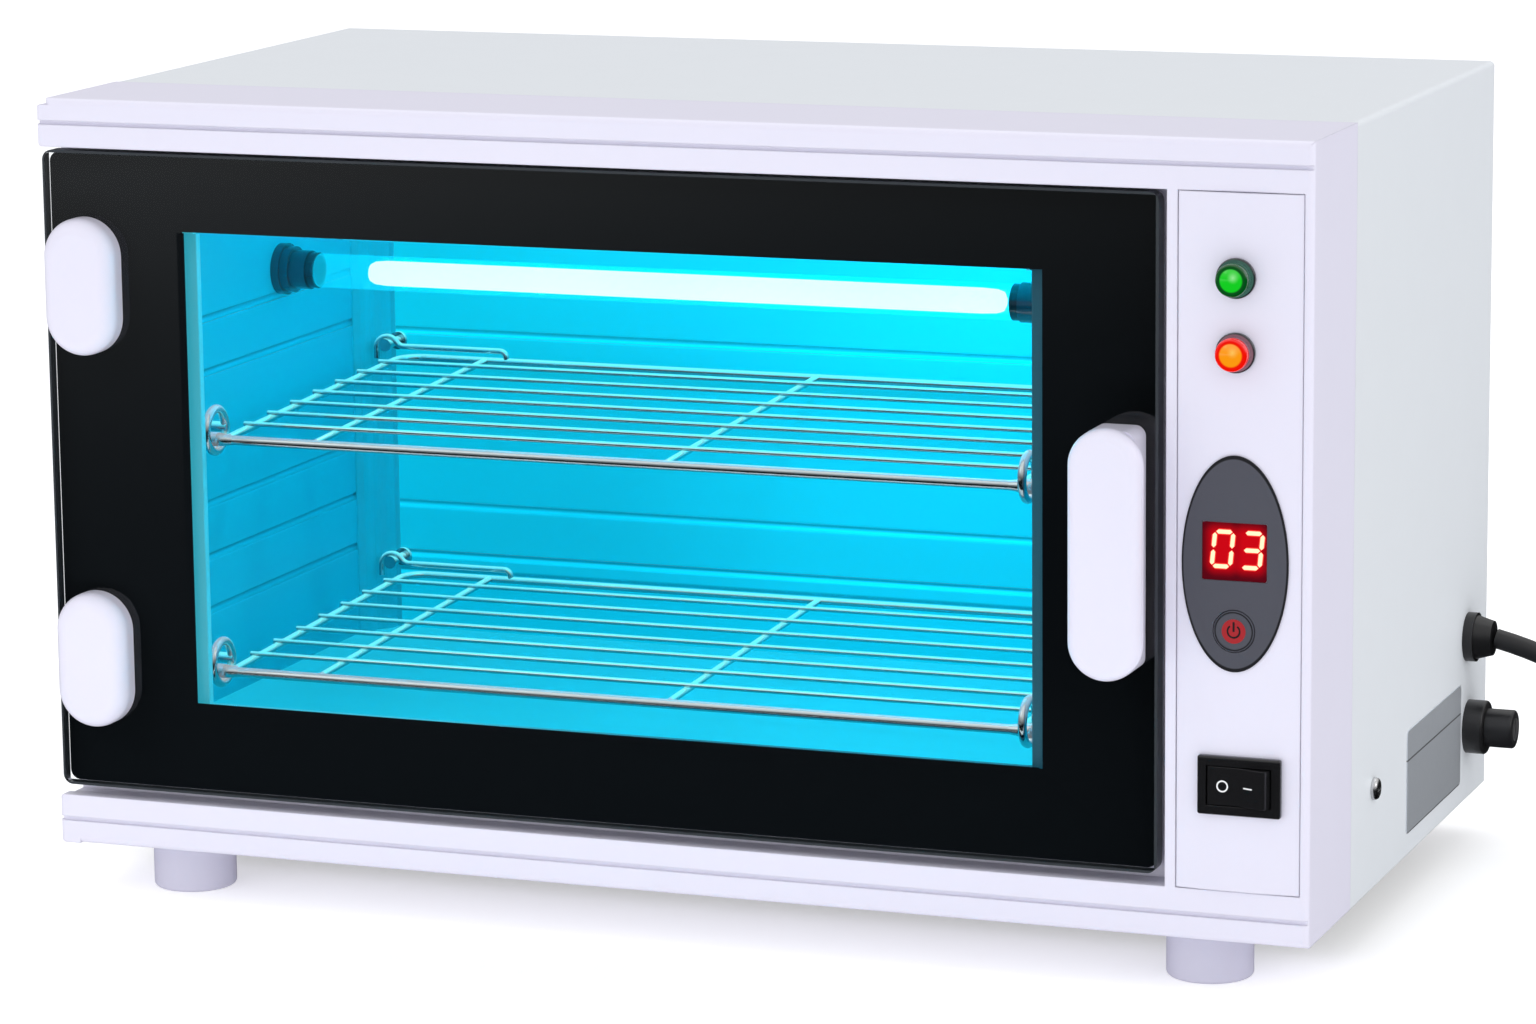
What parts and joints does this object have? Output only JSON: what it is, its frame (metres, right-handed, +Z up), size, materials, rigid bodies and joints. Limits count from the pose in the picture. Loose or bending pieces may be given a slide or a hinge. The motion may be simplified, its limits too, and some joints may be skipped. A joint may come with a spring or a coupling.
{
  "type": "tool sterilizer cabinet",
  "caption": "Countertop tool sterilizer cabinet: hinged bordered glass door, lit chamber with wire shelves, control column with display, pilot lamps, button and rocker switch.",
  "frame": {"origin": "on the surface the feet stand on, at the middle of the footprint box of the object without its cord", "axes": "+X to the right along the front, +Y from the door to the back, +Z up"},
  "size_m": [0.5196, 0.3467, 0.2355],
  "materials": {
    "frame_plastic": "satin moulded, pale lavender white",
    "panel_plastic": "satin moulded, pale lavender white",
    "overlay_grey": "fine matt film, slate grey",
    "display_red": "glossy dark red filter",
    "dark_plastic": "moulded black",
    "board_green": "laminate",
    "button_grey": "satin slate grey, dark mark on a red disc",
    "green_lens": "clear tinted, lit",
    "orange_lens": "clear tinted, lit",
    "switch_black": "moulded black",
    "rocker_black": "moulded black, white marks",
    "brass_tabs": "tinned",
    "case_paint": "powder coated pale grey",
    "zinc_steel": "zinc plated sheet",
    "screw_steel": "zinc plated",
    "plate_silver": "satin, blank",
    "chamber_paint": "bright enamelled sheet",
    "shelf_chrome": "bright plated wire",
    "eye_chrome": "bright plated wire",
    "lamp_glass": "lit tube",
    "lamp_cap_metal": "satin",
    "holder_white": "moulded white",
    "door_clear_glass": "clear, polished edges",
    "border_black": "black print behind glass",
    "cover_plastic": "satin moulded",
    "handle_plastic": "satin moulded",
    "hinge_steel": "satin",
    "gasket_rubber": "black",
    "foot_plastic": "pale moulded",
    "cord_rubber": "black, satin",
    "plug_black": "moulded black with bare metal blades",
    "fuse_black": "moulded black",
    "fuse_cap_black": "moulded black with a bare metal end disc",
    "fuse_glass": "clear with metal ends",
    "ballast_steel": "painted laminations",
    "block_white": "moulded",
    "wire_rubber": "insulated leads"
  },
  "bodies": {
    "cabinet": {"front_bezel": "frame_plastic", "control_panel": "panel_plastic", "overlay_plate": "overlay_grey", "display_window": "display_red", "display_module": "dark_plastic", "control_board": "board_green", "button_switch": "dark_plastic", "green_lamp_lens": "green_lens", "orange_lamp_lens": "orange_lens", "pilot_lamp_bodies": "dark_plastic", "switch_housing": "switch_black", "switch_terminals": "brass_tabs", "outer_case": "case_paint", "base_plate": "zinc_steel", "back_panel": "case_paint", "case_screws": "screw_steel", "rating_plate": "plate_silver", "chamber_left_wall": "chamber_paint", "chamber_right_wall": "chamber_paint", "chamber_back_wall": "chamber_paint", "chamber_floor": "chamber_paint", "chamber_ceiling": "chamber_paint", "upper_shelf": "shelf_chrome", "lower_shelf": "shelf_chrome", "shelf_eyes": "eye_chrome", "lampholder_left": "holder_white", "lampholder_right": "holder_white", "lamp_bracket": "zinc_steel", "hinge_brackets": "hinge_steel", "hinge_pins": "hinge_steel", "hinge_frame_screws": "screw_steel", "magnet_catch": "dark_plastic", "door_gasket": "gasket_rubber", "feet": "foot_plastic", "foot_screws": "screw_steel", "cord_grommet": "cord_rubber", "fuse_holder": "fuse_black", "fuse_holder_nut": "fuse_black", "fuse_link": "fuse_glass", "ballast": "ballast_steel", "terminal_block": "block_white", "wiring_loom": "wire_rubber", "power_cord": "cord_rubber", "cord_coil": "cord_rubber", "power_plug": "plug_black"},
    "door": {"door_glass": "door_clear_glass", "door_border": "border_black", "upper_hinge_cover": "cover_plastic", "lower_hinge_cover": "cover_plastic", "hinge_clamps": "hinge_steel", "hinge_door_screws": "screw_steel", "door_handle": "handle_plastic", "handle_screws": "screw_steel", "strike_plate": "hinge_steel"},
    "power_button": {"power_button": "button_grey"},
    "rocker": {"switch_rocker": "rocker_black"},
    "fuse_cap": {"fuse_cap": "fuse_cap_black"},
    "lamp": {"lamp_tube": "lamp_glass", "lamp_caps": "lamp_cap_metal"}
  },
  "joints": [
    {"name": "door_hinge", "type": "hinge", "parent": "cabinet", "child": "door", "pos_m": [-0.19365, -0.08755, 0.1265], "axis": [0, 0, -1], "range_deg": [0, 105]},
    {"name": "button_press", "type": "slide", "parent": "cabinet", "child": "power_button", "axis": [0, 1, 0], "range_m": [0, 0.0006], "stiffness_N_per_m": 800, "springref_m": -0.001},
    {"name": "rocker_tilt", "type": "hinge", "parent": "cabinet", "child": "rocker", "pos_m": [0.16355, -0.0957, 0.0594], "axis": [0, 0, 1], "range_deg": [0, 18]},
    {"name": "fuse_cap_turn", "type": "hinge", "parent": "cabinet", "child": "fuse_cap", "pos_m": [0.19075, 0.0876, 0.037], "axis": [1, 0, 0], "range_deg": [0, 90]},
    {"name": "lamp_turn", "type": "hinge", "parent": "cabinet", "child": "lamp", "pos_m": [-0.04125, -0.0034, 0.1745], "axis": [1, 0, 0], "range_deg": [0, 90]}
  ]
}
